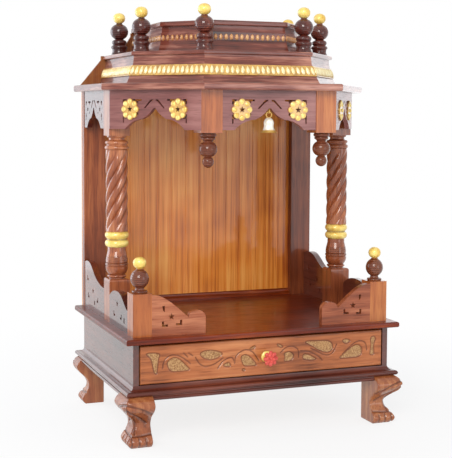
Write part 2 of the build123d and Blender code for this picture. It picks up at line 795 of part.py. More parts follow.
def cornice(foot, head, z, height, sections=5):
    """Coved boards round three sides and the two slants, open at the back."""
    levels = []
    for level in range(sections):
        share = level / (sections - 1)
        cove = sin(share * pi / 2)
        with BuildSketch(Plane.XY.offset(z + height * share)) as section:
            with BuildLine():
                Polyline(*half_hexagon(blend_plan(foot, head, cove)), close=True)
            make_face()
        levels.append(section.sketch)
    loft(levels)
    plan_slab(head, z, height, cornice_wall, mode=Mode.SUBTRACT)


def band(plan, z, height, proud):
    plan_slab(plan, z, height, -proud)
    plan_slab(plan, z, height, cornice_wall / 2, mode=Mode.SUBTRACT)


with BuildPart() as gold_band:
    band(cove_head_plan, canopy_top + band_rise, band_height, band_proud)
save(gold_band, "gold_band")
with BuildPart() as lower_cornice:
    cornice(cove_foot_plan, cove_head_plan, canopy_top, cove_height)
    add(gold_band.part, mode=Mode.SUBTRACT)
save(lower_cornice, "lower_cornice")
with BuildPart() as upper_board:
    plan_slab(upper_board_plan, upper_board_z, upper_board_thickness)
    rim = upper_board.faces().filter_by(Axis.Z).edges()
    fillet([edge for edge in rim if edge.center().Y < canopy_back_y - 1], board_round - 1)
save(upper_board, "upper_board")
with BuildPart() as carved_band:
    band(upper_head_plan, upper_board_top + upper_band_rise, upper_band_height, upper_band_proud)
save(carved_band, "carved_band")
with BuildPart() as upper_cornice:
    cornice(upper_foot_plan, upper_head_plan, upper_board_top, upper_cove_height)
    add(carved_band.part, mode=Mode.SUBTRACT)
save(upper_cornice, "upper_cornice")
with BuildPart() as top_board:
    plan_slab(top_board_plan, top_board_z, top_board_thickness)
    rim = top_board.faces().filter_by(Axis.Z).edges()
    fillet([edge for edge in rim if edge.center().Y < canopy_back_y - 1], board_round - 1)
save(top_board, "top_board")

# Finials
finial_points = half_hexagon(upper_board_plan, finial_inset)
rear_finial_y = canopy_back_y - rear_finial_inset
places = {
    "front": finial_points[3],
    "middle": finial_points[4],
    "rear": (finial_points[5][0], rear_finial_y)}
for side, sign in sides:
    for place, (x, y) in places.items():
        with BuildPart() as finial:
            turning(sign * x, y, upper_board_top, (18, 0), [
                (18, 3), (16, 10, 17, 15), (19, 18.5, 17, 22), (14, 24), (17, 29, 15, 34),
                (9, 37), (20.5, 56, 8, 71), (6.5, 74), (14, 84, 5, 96.5), (0, 97.5)])
        save(finial, f"finial_{place}_{side}")

# Bell: its ring hangs on a screw eye under the point of the front arch
bell_y = front_face_y + valance_thickness / 2
arch_point_z = valance_z + arch_height
eye_z = arch_point_z - eye_drop
link_z = eye_z - eye_radius
bell_ring_z = link_z + eye_wire + link_gap + ring_wire - bell_ring_radius
crown_z = bell_ring_z - bell_ring_radius
mouth_z = crown_z - bell_height
with BuildPart() as bell_hook:
    with Locations(Plane(origin=(0, bell_y, eye_z), z_dir=(1, 0, 0))):
        Torus(eye_radius, eye_wire)
    with BuildSketch(Plane.XY.offset(eye_z + eye_radius)):
        with Locations((0, bell_y)):
            Circle(eye_wire)
    extrude(amount=eye_drop - eye_radius)
save(bell_hook, "bell_hook")
with BuildPart() as bell:
    mouth = bell_height
    inner_rim = bell_rim_radius - bell_wall
    turning(0, bell_y, mouth_z, (inner_rim, 0), [
        (bell_rim_radius, 0), (11.5, 8, 10.3, mouth * 0.55), (9, 26, 3, mouth),
        (0, mouth), (0, mouth - bell_wall * 2), (3, mouth - bell_wall * 2),
        (7.3, 25, 8.6, mouth * 0.55), (9.8, 8, inner_rim, 0)])
    with Locations(Plane(origin=(0, bell_y, bell_ring_z), z_dir=(0, 1, 0))):
        Torus(bell_ring_radius, ring_wire)
save(bell, "bell")
ball_z = mouth_z + clapper_lift + clapper_radius
neck_rise = sqrt(clapper_radius ** 2 - clapper_wire ** 2)
with BuildPart() as bell_clapper:
    turning(0, bell_y, ball_z, (0, -clapper_radius), [
        (clapper_radius, 0, clapper_wire, neck_rise),
        (clapper_wire, crown_z - 2 * bell_wall - ball_z), (0, crown_z - 2 * bell_wall - ball_z)])
save(bell_clapper, "bell_clapper")
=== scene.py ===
# %% [markdown]
# # A home temple in lacquered hardwood
# The carpenter's frame is already made: every board, column and turned drop stands in its place.
# This lesson gives it its looks: a camera where the photographer stood, a pale studio, wood with
# grain that runs the right way on each board, gold paint, brass, and the carving that a chisel
# leaves. The frame is loaded first, and its box is kept, because the dressed temple has to fit it.

from math import atan2, cos, pi, radians, sin, tau

import bmesh
import bpy
import numpy
from mathutils import Euler, Matrix, Vector, geometry


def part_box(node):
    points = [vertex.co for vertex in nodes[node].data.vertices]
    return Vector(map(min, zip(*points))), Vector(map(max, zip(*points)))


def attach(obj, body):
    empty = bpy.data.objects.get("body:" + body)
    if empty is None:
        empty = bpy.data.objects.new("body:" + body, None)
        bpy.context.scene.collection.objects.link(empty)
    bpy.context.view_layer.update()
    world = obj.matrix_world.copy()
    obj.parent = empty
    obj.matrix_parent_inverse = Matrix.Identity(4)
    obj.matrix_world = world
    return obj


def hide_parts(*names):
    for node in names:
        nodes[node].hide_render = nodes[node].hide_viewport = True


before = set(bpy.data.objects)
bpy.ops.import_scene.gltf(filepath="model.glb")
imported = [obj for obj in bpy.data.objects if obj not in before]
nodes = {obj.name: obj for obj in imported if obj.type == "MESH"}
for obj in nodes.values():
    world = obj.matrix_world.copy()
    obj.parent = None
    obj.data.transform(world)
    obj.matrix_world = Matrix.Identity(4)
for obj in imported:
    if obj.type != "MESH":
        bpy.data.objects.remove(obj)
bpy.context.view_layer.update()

# %% [markdown]
# ## Camera
# A camera is matched to a photograph by its place, its turn and its lens. The long lens keeps the
# upright edges nearly parallel. The small downward shift slides the film behind the lens, as an
# architect's camera does, so that the temple fits the frame without tilting the camera further.

# %% Camera
camera_place = Vector((-0.9218, -2.3649, 0.6788))
camera_yaw = radians(20.94)
camera_pitch = radians(3.91)
camera_roll = radians(0.29)
lens_mm = 88.93
film_width_mm = 36.0
lens_shift = -0.0852

camera_data = bpy.data.cameras.new("photo_camera")
camera_data.lens = lens_mm
camera_data.sensor_width = film_width_mm
camera_data.shift_y = lens_shift
camera = bpy.data.objects.new("photo_camera", camera_data)
bpy.context.scene.collection.objects.link(camera)
looking = Euler((pi / 2 - camera_pitch, 0.0, -camera_yaw)).to_matrix().to_4x4()
rolled = Matrix.Rotation(camera_roll, 4, "Z")
camera.matrix_world = Matrix.Translation(camera_place) @ looking @ rolled
bpy.context.scene.camera = camera
print("camera looks along", [round(-part, 3) for part in camera.matrix_world.col[2][:3]])

# %% [markdown]
# ## Shader arithmetic
# A material is a network of nodes, and long formulas are tiresome to wire by hand. One small class
# wraps a socket, so that `1 - mask * 2` adds the Math nodes by itself. Every other node comes from
# a single method, which first makes the node's settings and then fills or links its sockets. The
# same method serves the studio's sky and the finishes of the wood.

# %% A socket that can be reckoned with
class Value:
    """An output socket that adds a Math node whenever it meets an operator."""

    def __init__(self, network, socket):
        self.network = network
        self.socket = socket

    def math(self, operation, *others):
        inputs = dict(enumerate((self,) + others))
        return self.network.node("ShaderNodeMath", {"operation": operation}, inputs)

    def __add__(self, other):
        return self.math("ADD", other)

    def __sub__(self, other):
        return self.math("SUBTRACT", other)

    def __mul__(self, other):
        return self.math("MULTIPLY", other)

    def __rsub__(self, other):
        return self.math("MULTIPLY_ADD", -1.0, other)

    __radd__ = __add__
    __rmul__ = __mul__

    def rise(self, low, high):
        """0 below low, 1 above high, and smooth between."""
        return self.network.node("ShaderNodeMapRange", {"interpolation_type": "SMOOTHSTEP"},
                                 {"Value": self, "From Min": low, "From Max": high})

    def fall(self, low, high):
        return 1 - self.rise(low, high)

    def ramp(self, *stops):
        """Colours at places along the value."""
        return self.network.node("ShaderNodeValToRGB", {"stops": stops}, {0: self})


def linear(colour):
    """A colour written as on screen, #rrggbb, as the shader wants it."""
    parts = [int(colour[i:i + 2], 16) / 255 for i in (1, 3, 5)]
    return [p / 12.92 if p <= 0.04045 else ((p + 0.055) / 1.055) ** 2.4 for p in parts] + [1.0]


print("a middle grey is", [round(part, 3) for part in linear("#808080")[:3]], "to the shader")

# %% A network of nodes
class Network:
    """A node tree, and the one way of adding nodes to it."""

    def __init__(self, tree):
        self.tree = tree

    def node(self, kind, settings=None, inputs=None, output=0):
        made = self.tree.nodes.new(kind)
        for key, value in (settings or {}).items():
            if key == "stops":
                self.fill_ramp(made.color_ramp, value)
            else:
                setattr(made, key, value)
        for key, value in (inputs or {}).items():
            self.feed(made.inputs[key], value)
        return Value(self, made.outputs[output])

    def fill_ramp(self, ramp, stops):
        while len(ramp.elements) < len(stops):
            ramp.elements.new(0.5)
        for element, (place, colour) in zip(ramp.elements, stops):
            element.position = place
            element.color = linear(colour)

    def feed(self, socket, value):
        if isinstance(value, Value):
            self.tree.links.new(value.socket, socket)
        elif isinstance(value, str):
            socket.default_value = linear(value)
        else:
            socket.default_value = value


# %% A material
class Finish(Network):
    """A material with a Principled shader, and the nodes that drive it."""

    def __init__(self, name, **constants):
        self.material = bpy.data.materials.new(name)
        self.material.use_nodes = True
        super().__init__(self.material.node_tree)
        self.shader = self.tree.nodes["Principled BSDF"]
        self.drive(**constants)

    def drive(self, **sockets):
        for name, value in sockets.items():
            self.feed(self.shader.inputs[name.replace("_", " ")], value)

    def place(self, turn=(0.0, 0.0, 0.0), scale=(1.0, 1.0, 1.0), start=None):
        """The point on the object, turned and then stretched."""
        if start is None:
            start = self.node("ShaderNodeTexCoord", output="Object")
        return self.node("ShaderNodeMapping", {"vector_type": "POINT"},
                         {"Vector": start, "Rotation": turn, "Scale": scale})

    def facing(self):
        """Which way the surface looks, in the object's own axes."""
        return self.node("ShaderNodeTexCoord", output="Normal")

    def axes(self, place):
        """The three numbers of a place."""
        split = self.node("ShaderNodeSeparateXYZ", {}, {"Vector": place})
        return [Value(self, socket) for socket in split.socket.node.outputs]

    def noise(self, place, scale, detail=3.0, roughness=0.55):
        return self.node("ShaderNodeTexNoise", {"noise_dimensions": "3D"},
                         {"Vector": place, "Scale": scale, "Detail": detail,
                          "Roughness": roughness})

    def blend(self, share, first, second):
        """A colour between two."""
        return self.node("ShaderNodeMix", {"data_type": "RGBA"},
                         {0: share, 6: first, 7: second}, output=2)

    def bump(self, height, distance, strength=1.0, under=None):
        inputs = {"Height": height, "Distance": distance, "Strength": strength}
        if under is not None:
            inputs["Normal"] = under
        return self.node("ShaderNodeBump", {}, inputs)


# %% [markdown]
# ## Stains
# The maker buys one timber and stains it, so every board has three tones: the pores and dark rings,
# the body of the wood, and its light figure. The roof and the fretted boards lean to purple, the
# legs and rails to brown, and the board behind the shrine is the warmest.

# %% Stains
dusky = ("#260b08", "#582519", "#86452f")
warm = ("#6e2f0e", "#a85b29", "#cb8243")
stains = {
    "rich": ("#431505", "#84401f", "#b86c3c"),
    "base": ("#380c01", "#7e2f08", "#b8621e"),
    "deep": ("#3a1c1c", "#7f4d49", "#a97771"),
    "side": dusky,
    "skirt": dusky,
    "pendant": warm,
    "post": warm,
    "inside": ("#8a3408", "#da8230", "#f4b25e"),
    # The teeth's light tones are a painted highlight.
    "tooth_highlight": ("#8a4a24", "#c98c54", "#ecc48e"),
    "platform": ("#2a0600", "#6a1f02", "#9c4412"),
    "finial": ("#1e0504", "#521a10", "#84402c"),
    "roof": ("#260a06", "#783a2c", "#c88e78"),
    "column": ("#48180a", "#944e2c", "#cd8656"),
    "rail": ("#4a1a10", "#985234", "#c9845e"),
    "leg": ("#4a1c0c", "#96532f", "#c98b58"),
    "drawer": ("#4a1c0a", "#ab6236", "#cf8a58"),
    "tray": ("#7d5230", "#a87a4c", "#c39a68"),
}
# Dark bands: a stain on the posts and drops, painted shade on the back board and in ring grooves.
stain_and_shade_colour = dusky[1]
gold_tones = ("#e0b040", "#f9e182")
pale_gold_tones = ("#ecd084", "#fbf0bc")
old_gold_tones = ("#b07f2e", "#dcae4e")
ground_tones = ("#865a32", "#ba9060")
print(len(stains), "stains")

# %% [markdown]
# ## Lacquered wood
# Sheesham is a brown wood with dark wavy streaks. A board's grain runs along its length, so the
# pattern is squeezed along one axis, and the finish is made once for each direction. Slow waves
# bend the growth rings, fine streaks lie between them, and a wide noise drifts the colour from
# orange to purple brown. A picture of wood would be quicker, but it would stretch and repeat on
# the turned pieces, and a solid pattern doesn't.

# %% Grain
grain_turns = {
    "Z": (0.0, 0.0, 0.0),
    "X": (0.0, pi / 2, 0.0),
    "Y": (pi / 2, 0.0, 0.0),
}
grain_squeeze = 0.05
panel_squeeze = 0.018
rings_per_metre = 55.0
streaks_per_metre = 420.0
fibres_per_metre = 0.22 * streaks_per_metre
sways_per_metre = 7.0
drifts_per_metre = 6.0
ring_slope, sway_width = 0.73, 0.11
ring_share, fibre_share, streak_share, drift_share = 0.14, 0.65, 0.45, 0.7
tone_level = 0.15


def wood_colour(finish, place, tones, figure, squeeze):
    """The stained wood's colour, its pores and fibres, where the place's z is the grain."""
    dark, middle, light = tones
    squeezed = finish.place(scale=(1.0, 1.0, squeeze), start=place)
    sway = finish.noise(squeezed, sways_per_metre, detail=2.0)
    x, y, _ = finish.axes(squeezed)
    crosswise = x + y * ring_slope + sway * sway_width
    rings = (crosswise * rings_per_metre * tau).math("SINE") * 0.5 + 0.5
    streaks = finish.noise(squeezed, streaks_per_metre, detail=2.0, roughness=0.6)
    fibres = finish.noise(squeezed, fibres_per_metre, detail=3.0, roughness=0.65)
    drift = finish.noise(place, drifts_per_metre, detail=2.0)
    middle_of_figure = 0.5 * figure * (ring_share + fibre_share + streak_share)
    tone = (rings * (ring_share * figure) + fibres * (fibre_share * figure)
            + streaks * (streak_share * figure) + drift * drift_share
            - (middle_of_figure - tone_level))
    colour = tone.ramp((0.20, dark), (0.50, middle), (0.80, light))
    pores = streaks.fall(0.30, 0.46)
    return finish.blend(pores * 0.25, colour, dark), pores, fibres


print("a growth ring every", round(1000 / rings_per_metre, 1), "mm")

# %% [markdown]
# Some finishes change over one piece. A turned ball is gilded above its neck, a dark stain fills a
# band on the posts and the drops, and a lathe leaves fine rings. The same dark band is painted
# shade on the front of the back board above the canopy board, and painted shade darkens the groove
# between a column's gold rings. Masks by height do all of these. The roof's boards meet at mitres
# in one solid, so there the grain follows the way that each face looks.

# %% Bands, rings and mitred boards
slant = atan2(0.2125, 0.1555)
waver = 0.0008
lathe_pitch = 0.0042
lathe_depth = 0.0008


def between(finish, low, high, soft):
    """1 between two heights and 0 outside them."""
    height = finish.axes(finish.place())[2]
    return height.rise(low - soft, low + soft) * height.fall(high - soft, high + soft)


def gilding(finish, colour, low, high):
    """Gold paint between two heights, with a brushed edge."""
    place = finish.place()
    height = finish.axes(place)[2] + finish.noise(place, 200.0) * (2 * waver) - waver
    soft = 0.0006
    painted = height.rise(low - soft, low + soft) * height.fall(high - soft, high + soft)
    paint = finish.noise(place, 60.0).ramp((0.3, gold_tones[0]), (0.65, gold_tones[1]))
    return finish.blend(painted, colour, paint), painted


def lathe_rings(finish, low, high, under):
    """The fine rings that a lathe leaves between two heights."""
    height = finish.axes(finish.place())[2]
    rings = (height * (tau / lathe_pitch)).math("SINE") * between(finish, low, high, soft=0.001)
    return finish.bump(rings, lathe_depth, under=under)


def along_each_board(finish, place):
    """The place turned so that x runs along the board of the half hexagon that a face is on."""
    side, front, _ = finish.axes(finish.facing())
    left = side.math("LESS_THAN", -0.3)
    right = side.math("GREATER_THAN", 0.3)
    lengthwise = left.math("MAXIMUM", right) * front.math("GREATER_THAN", -0.1)
    for share, lean in ((left, -slant), (right, slant), (lengthwise, pi / 2)):
        turned = finish.place(turn=(0.0, 0.0, -lean))
        place = finish.node("ShaderNodeMix", {"data_type": "VECTOR"},
                            {0: share, 4: place, 5: turned}, output=1)
    return place


def carving_shade_and_ground(finish, colour, rough, dark):
    """Painted shade in the cuts, and the dull stippled ground behind the flowers."""
    cut = finish.node("ShaderNodeAttribute", {"attribute_name": "cut"}, output="Fac")
    ground = finish.node("ShaderNodeAttribute", {"attribute_name": "ground"}, output="Fac")
    speckle = finish.noise(finish.place(), 420.0, detail=2.0)
    dull = speckle.ramp((0.35, ground_tones[0]), (0.62, ground_tones[1]))
    colour = finish.blend(ground, colour, dull)
    # Painted shade darkens the cuts towards the darkest tone.
    return finish.blend(cut, colour, dark), rough + ground * 0.2


print("the slanted boards lean", round(slant * 180 / pi, 1), "degrees")

# %% [markdown]
# The lacquer is a clear coat over the stain. It mirrors the bright room, and most of all on faces
# seen at a slant, which is why the temple's side boards look nearly white from the front.

# %% Wood under lacquer
# How strongly the dark band darkens, as stain on posts and drops and as painted shade on the back
# board, and how strongly painted shade darkens a ring groove.
stain_and_shade_share, ring_groove_shade_share = 0.75, 0.6
smudges_per_metre = 26.0
smudge_roughness, pore_roughness, gilt_roughness = 0.12, 0.15, 0.12
gilt_metal = 0.25
pore_depth = 0.0002


def wood(name, tones, grain, lean=0.0, figure=0.6, squeeze=grain_squeeze, roughness=0.34,
         coat=0.42, coat_ior=1.5, gilt=None, gap=None, stain_and_shade_zone=None, plain_rear=False,
         turned=None, carved=False, mitred=False):
    """Stained hardwood under clear lacquer. lean turns a board's own length on to the X axis."""
    finish = Finish(name, Coat_Weight=coat, Coat_Roughness=0.08, Coat_IOR=coat_ior,
                    Specular_IOR_Level=0.22)
    place = finish.place(turn=(0.0, 0.0, -lean))
    if mitred:
        place = along_each_board(finish, place)
    place = finish.place(turn=grain_turns[grain], start=place)
    colour, pores, fibres = wood_colour(finish, place, tones, figure, squeeze)
    smudges = finish.noise(place, smudges_per_metre, detail=2.0)
    rough = roughness + smudges * smudge_roughness + pores * pore_roughness
    if carved:
        colour, rough = carving_shade_and_ground(finish, colour, rough, tones[0])
    # A dark band: stain on the posts and drops, painted shade on the back board's front.
    if stain_and_shade_zone:
        stained_and_shaded = between(finish, *stain_and_shade_zone, soft=0.003)
        if plain_rear:
            stained_and_shaded = stained_and_shaded * finish.axes(finish.facing())[1].math("LESS_THAN", 0.5)
        colour = finish.blend(stained_and_shaded * stain_and_shade_share, colour, stain_and_shade_colour)
    if gilt:
        colour, painted = gilding(finish, colour, *gilt)
        # Painted shade in the groove between two gold rings.
        if gap:
            ring_groove_shade = between(finish, *gap, soft=0.0009)
            colour = finish.blend(ring_groove_shade * ring_groove_shade_share, colour, stain_and_shade_colour)
        rough = rough + painted * gilt_roughness
        finish.drive(Metallic=painted * gilt_metal)
    relief = finish.bump(pores * -1.0 + fibres * 0.5, pore_depth, strength=0.4)
    if turned:
        relief = lathe_rings(finish, *turned, under=relief)
    finish.drive(Base_Color=colour, Roughness=rough, Normal=relief)
    return finish.material


finishes = {}


def finish_for(kind, grain, lean=0.0, **extra):
    """One material for each kind of board and grain, made when it is first asked for."""
    way = "" if lean == 0 else "_left" if lean < 0 else "_right"
    name = f"{kind}_wood_{grain.lower()}{way}"
    if name not in finishes:
        finishes[name] = wood(name, stains[kind], grain, lean, **extra)
    return finishes[name]


def coat_node(name, material):
    mesh = nodes[name].data
    mesh.materials.clear()
    mesh.materials.append(material)


# %% [markdown]
# ## Which finish goes where
# The names of the pieces tell which way the grain runs: uprights along Z, boards across the front
# along X, boards from front to back along Y, and the two slanted fretted boards along their own
# length. A table is easier to read and to change than a long chain of questions. The first row
# whose words begin a piece's name gives its finish. Heights are metres above the floor.

# %% Heights where a turned piece changes
post_block_top, post_ball_foot, post_ball_top = 0.3125, 0.362, 0.40
pendant_block_foot = 0.637
finial_neck, roof_ball_foot, roof_ball_top = 0.883, 0.8835, 0.92
column_ribs = (0.344, 0.367)
column_rings = (0.386, 0.420)
# The groove between a column's gold rings, darkened as painted shade.
column_ring_groove_shade = (0.4010, 0.4045)
canopy_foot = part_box("canopy_board")[0].z
floor_level, above_all = 0.0, 2.0
print("the canopy board lies", round(canopy_foot, 3), "m above the floor")

# %% The boards
boards = (
    (("valance_front_left",), "deep", "X", {"lean": -slant, "figure": 0.4}),
    (("valance_front_right",), "deep", "X", {"lean": slant, "figure": 0.4}),
    (("valance_front",), "deep", "X", {"figure": 0.4}),
    # The back board's dark band is painted shade, on its front faces above the canopy board.
    (("back_panel",), "inside", "Z",
     {"figure": 0.66, "squeeze": panel_squeeze, "stain_and_shade_zone": (canopy_foot, above_all),
      "plain_rear": True}),
    (("pendant",), "pendant", "Z",
     {"coat": 0.6, "stain_and_shade_zone": (floor_level, pendant_block_foot),
      "turned": (floor_level, pendant_block_foot)}),
    (("front_post",), "post", "Z",
     {"coat": 0.8, "gilt": (post_ball_foot, post_ball_top),
      "stain_and_shade_zone": (post_block_top, post_ball_foot), "turned": (post_block_top, post_ball_foot)}),
    (("finial",), "finial", "Z",
     {"coat": 0.9, "gilt": (roof_ball_foot, roof_ball_top),
      "turned": (floor_level, finial_neck)}),
    (("column",), "column", "Z",
     {"coat": 0.9, "gilt": column_rings, "gap": column_ring_groove_shade, "turned": column_ribs}),
    (("drawer_front",), "drawer", "X", {"carved": True}),
    (("case_back", "case_floor", "drawer_back", "drawer_bottom"), "tray", "X",
     {"coat": 0.0, "roughness": 0.6}),
    (("drawer_side",), "tray", "Y", {"coat": 0.0, "roughness": 0.6}),
    (("back_stile", "leg"), "rich", "Z", {}),
    (("platform_board",), "platform", "X", {"coat": 0.32, "roughness": 0.28}),
    (("front_rail",), "rail", "X", {}),
    (("skirt_front", "skirt_rear"), "skirt", "X", {}),
    (("back_foot_moulding",), "base", "X", {}),
    (("canopy_board", "upper_board", "top_board", "lower_cornice", "upper_cornice",
      "carved_band"), "roof", "X", {"figure": 0.8, "coat": 0.8, "mitred": True}),
    (("case_side", "side_rail", "valance_side", "skirt_left", "skirt_right"), "side", "Y",
     {"coat": 1.0, "coat_ior": 1.7, "figure": 0.4}),
)
for name in nodes:
    for starts, kind, grain, extra in boards:
        if name.startswith(starts):
            coat_node(name, finish_for(kind, grain, **extra))
            break
print(len(finishes), "kinds of board")

# %% [markdown]
# ## Gold, red and brass
# The ornaments are wood under gold paint, which is a warm yellow with little metal in it, so it
# takes the light softly and only its lacquer shines. Three ages of it are used: new on the petals
# and the knob's stem, pale on the leaves, and old where it lies in hollows. The bell is pale brass
# with a yellower rim and ring, and elsewhere its nearly white colour is a painted highlight.

# %% Gold paint
def gold_paint(name, tones, patches, light_from, metal, **lacquer):
    finish = Finish(name, Coat_Roughness=0.1, Metallic=metal, **lacquer)
    place = finish.place()
    patchy = finish.noise(place, patches).ramp((0.3, tones[0]), (light_from, tones[1]))
    finish.drive(Base_Color=patchy, Normal=finish.bump(finish.noise(place, 300.0), 0.0002))
    return finish.material


gold = gold_paint("gold_paint", gold_tones, 60.0, 0.6, 0.25,
                  Roughness=0.45, Coat_Weight=0.6, Coat_IOR=1.7)
pale_gold = gold_paint("pale_gold", pale_gold_tones, 80.0, 0.6, 0.15,
                       Roughness=0.45, Coat_Weight=0.7, Coat_IOR=1.8)
old_gold = gold_paint("old_gold", old_gold_tones, 70.0, 0.65, 0.2,
                      Roughness=0.5, Coat_Weight=0.8, Coat_IOR=1.8)
coat_node("gold_band", old_gold)
coat_node("rosettes", old_gold)
coat_node("knob_stem", gold)
print("gold on", gold.name, pale_gold.name, old_gold.name)

# %% Red paint and brass
red = Finish("red_paint", Roughness=0.45)
red.drive(Base_Color=red.noise(red.place(), 150.0).ramp((0.3, "#a82822"), (0.6, "#d8564a")))
coat_node("knob_face", red.material)

rim_top = (0.004, 0.007)
ring_foot = (0.029, 0.032)
bell_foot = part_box("bell")[0].z
brass = Finish("bell_brass", Roughness=0.34, Metallic=0.3)
brass_place = brass.place()
height = brass.axes(brass_place)[2]
# The nearly white body colour is a painted highlight.
painted_highlight = brass.noise(brass_place, 90.0).ramp((0.3, "#e2d9c6"), (0.7, "#faf6ec"))
yellow = brass.noise(brass_place, 120.0).ramp((0.3, "#b98a3c"), (0.7, "#dcb566"))
rim = height.fall(*(bell_foot + level for level in rim_top))
ring = height.rise(*(bell_foot + level for level in ring_foot))
brass.drive(Base_Color=brass.blend(rim + ring, painted_highlight, yellow),
            Normal=brass.bump(brass.noise(brass_place, 500.0), 0.0001))
for name in ("bell", "bell_clapper", "bell_hook"):
    coat_node(name, brass.material)
print("the bell's foot is", round(bell_foot, 3), "m above the floor")

# %% [markdown]
# ## New pieces
# A piece is drawn in a bmesh, becomes an object at the origin, and rides on the body that carries
# it. Where it takes the place of a plain solid, that solid is hidden.

# %% From a bmesh to a riding piece
def finished(name, shape, material, body="root", stands_for=()):
    mesh = bpy.data.meshes.new(name)
    for face in shape.faces:
        face.smooth = True
    shape.to_mesh(mesh)
    shape.free()
    mesh.materials.append(material)
    piece = bpy.data.objects.new(name, mesh)
    bpy.context.scene.collection.objects.link(piece)
    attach(piece, body)
    if stands_for:
        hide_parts(*stands_for)
    print(name, "has", len(mesh.polygons), "faces")
    return piece


# %% [markdown]
# ## The gilded band
# The cove swells outwards below the band, so the gold has to lie on the curve. A ribbon follows
# it: its corners come from the foot and the head of the cove, and a quarter of a sine wave leads
# from one to the other. Each height is a row of edges, and rows are bridged to make the surface.
# A band cut from a flat strip would sink into the swelling wood at its lower edge.

# %% The cove's corners at any height
def outline(points):
    """The corners of some points' hull, from the back left round the front to the back right."""
    apart = [Vector(pair) for pair in sorted({(round(p.x, 5), round(p.y, 5)) for p in points})]
    hull = [apart[i] for i in geometry.convex_hull_2d(apart)]
    corners = []
    for i, corner in enumerate(hull):
        before = (corner - hull[i - 1]).normalized()
        after = (hull[(i + 1) % len(hull)] - corner).normalized()
        if abs(before.cross(after)) > 0.05:
            corners.append(corner)
    behind = max(corner.y for corner in corners) + 0.01
    return sorted(corners, key=lambda corner: atan2(corner.x, behind - corner.y))


def outline_at(name, z):
    level = [vert.co for vert in nodes[name].data.vertices if abs(vert.co.z - z) < 0.0004]
    return outline(level)


cove_low, cove_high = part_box("lower_cornice")
cove_foot = outline_at("lower_cornice", cove_low.z)
cove_head = outline_at("lower_cornice", cove_high.z)


def cove_corners(z, proud):
    """The cove's corners at a height, pushed outwards with mitred corners."""
    share = sin((z - cove_low.z) / (cove_high.z - cove_low.z) * pi / 2)
    corners = [foot.lerp(head, share) for foot, head in zip(cove_foot, cove_head)]
    outwards = []
    for a, b in zip(corners, corners[1:]):
        run = (b - a).normalized()
        outwards.append(Vector((run.y, -run.x)))
    pushed = []
    for i, corner in enumerate(corners):
        before = outwards[max(i - 1, 0)]
        after = outwards[min(i, len(outwards) - 1)]
        pushed.append(corner + (before + after) / (1.0 + before.dot(after)) * proud)
    return pushed


print("the cove has", len(cove_foot), "corners")

# %% The ribbon
band_low, band_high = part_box("gold_band")
ribbon_proud = 0.0022
ribbon_tuck = -0.001
ribbon_steps = 8

shape = bmesh.new()
heights = [band_low.z + (band_high.z - band_low.z) * i / ribbon_steps
           for i in range(ribbon_steps + 1)]
levels = [(z, ribbon_proud) for z in heights]
levels = [(heights[0], ribbon_tuck)] + levels + [(heights[-1], ribbon_tuck)]
row = []
for z, proud in levels:
    verts = [shape.verts.new((corner.x, corner.y, z)) for corner in cove_corners(z, proud)]
    before = row
    row = [shape.edges.new(pair) for pair in zip(verts, verts[1:])]
    if before:
        bmesh.ops.bridge_loops(shape, edges=before + row)
bmesh.ops.recalc_face_normals(shape, faces=shape.faces)
ribbon = finished("gold_ribbon", shape, old_gold)
for polygon in ribbon.data.polygons:
    polygon.use_smooth = False

# %% [markdown]
# Small upright leaves are pressed side by side on the ribbon. Each is a squashed ball with a narrow
# top, and leans with the cove, so its foot and its head are taken from two lines, one low and one
# high on the ribbon. A few dozen faces are enough for a piece that is repeated hundreds of times.

# %% The leaves
def add_leaf(shape, here, half_width, thickness, half_height, taper):
    made = bmesh.ops.create_uvsphere(shape, u_segments=8, v_segments=6, radius=1.0)
    for vert in made["verts"]:
        x, y, z = vert.co
        narrow = 1.0 - taper * max(0.0, z)
        vert.co = here @ Vector((x * half_width * narrow, y * thickness, z * half_height))


leaf_pitch = 0.0118
leaf_half_width = 0.0046
leaf_thickness = 0.0030
leaf_half_height = 0.0098
leaf_taper = 0.55
band_middle = (band_low.z + band_high.z) / 2


def leaf_line(z):
    return [Vector((*corner, z)) for corner in cove_corners(z, ribbon_proud)]


shape = bmesh.new()
low_line = leaf_line(band_middle - leaf_half_height)
high_line = leaf_line(band_middle + leaf_half_height)
runs = zip(low_line, low_line[1:], high_line, high_line[1:])
for low_start, low_end, high_start, high_end in runs:
    along = (low_end - low_start).normalized()
    count = round((low_end - low_start).length / leaf_pitch)
    for i in range(count):
        foot = low_start.lerp(low_end, (i + 0.5) / count)
        head = high_start.lerp(high_end, (i + 0.5) / count)
        up = (head - foot).normalized()
        outward = along.cross(up)
        if outward.y > 0.3 or outward.z < 0:
            outward = -outward
        turn = Matrix((along, outward, up)).transposed().to_4x4()
        here = Matrix.Translation((foot + head) / 2) @ turn
        add_leaf(shape, here, leaf_half_width, leaf_thickness, leaf_half_height, leaf_taper)
bmesh.ops.recalc_face_normals(shape, faces=shape.faces)
finished("gold_leaves", shape, pale_gold)

# %% [markdown]
# ## Teeth on the upper band
# The upper cornice carries a run of small carved teeth, bare wood where the band below is gilded.
# Their light stain is a painted highlight, for teeth that catch the light.
# The leaf serves again, blunter and upright, along the straight runs of the band. The outline of
# the band is read from its solid, so the teeth stay on it if the roof changes.

# %% Teeth
def frame_at(place, outward):
    """Axes for a small ornament: x along the board, y outwards, z up."""
    outward = Vector(outward).normalized()
    up = Vector((0.0, 0.0, 1.0))
    along = outward.cross(up)
    turn = Matrix((along, outward, up)).transposed().to_4x4()
    return Matrix.Translation(place) @ turn


tooth_pitch = 0.0125
tooth_half_width = 0.0043
tooth_thickness = 0.0032
tooth_half_height = 0.0066
tooth_taper = 0.2
tooth_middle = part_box("carved_band")[0].z + 0.0068

